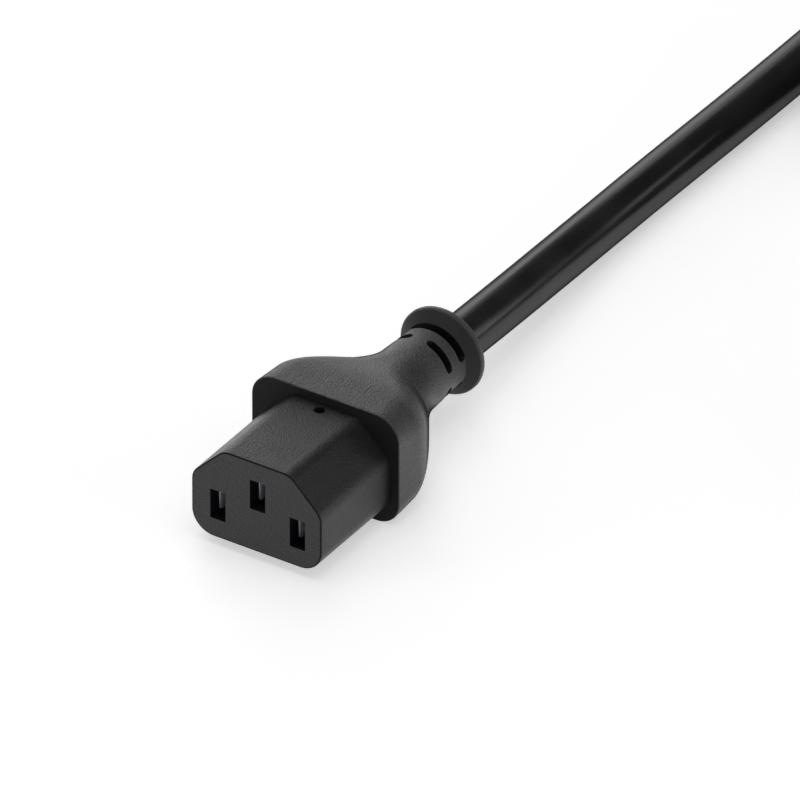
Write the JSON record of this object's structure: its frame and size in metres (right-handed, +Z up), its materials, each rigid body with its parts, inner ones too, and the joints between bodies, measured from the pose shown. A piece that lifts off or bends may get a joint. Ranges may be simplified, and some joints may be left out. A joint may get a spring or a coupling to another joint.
{
  "type": "power extension cord",
  "caption": "Black three-core rack power lead: a moulded socket connector, a thick round cord wound in a tied coil, and a shrouded pin plug.",
  "frame": {"origin": "on the floor under the middle of the socket connector's length, at the bottom centre of the connector without its cord", "axes": "+Y along the connector from its mating face to the cord, -Y out of the mating face, +X across the face, +Z up"},
  "size_m": [0.1176, 0.2252, 0.0208],
  "materials": {
    "connector_pvc": "moulded black PVC, fine spark-eroded grain",
    "plug_pvc": "moulded black PVC, fine spark-eroded grain",
    "cord_pvc": "extruded black PVC jacket, satin",
    "carrier_plastic": "black moulded thermoplastic",
    "tie_fabric": "black woven hook-and-loop strap",
    "contact_brass": "nickel-plated brass strip",
    "pin_nickel": "nickel-plated brass blade, polished",
    "conductor_copper": "bunched copper wires",
    "core_brown": "smooth insulation",
    "core_blue": "smooth insulation",
    "core_green_yellow": "smooth insulation"
  },
  "bodies": {
    "root": {"connector_housing": "connector_pvc", "contact_carrier": "carrier_plastic", "cord": "cord_pvc", "cord_coil": "cord_pvc", "cord_tail": "cord_pvc", "cord_tie": "tie_fabric", "earth_conductor": "conductor_copper", "earth_contact": "contact_brass", "earth_core": "core_green_yellow", "earth_pin": "pin_nickel", "line_conductor": "conductor_copper", "line_contact": "contact_brass", "line_core": "core_brown", "line_pin": "pin_nickel", "neutral_conductor": "conductor_copper", "neutral_contact": "contact_brass", "neutral_core": "core_blue", "neutral_pin": "pin_nickel", "pin_carrier": "carrier_plastic", "plug_earth_conductor": "conductor_copper", "plug_earth_core": "core_green_yellow", "plug_housing": "plug_pvc", "plug_line_conductor": "conductor_copper", "plug_line_core": "core_brown", "plug_neutral_conductor": "conductor_copper", "plug_neutral_core": "core_blue"}
  },
  "joints": []
}
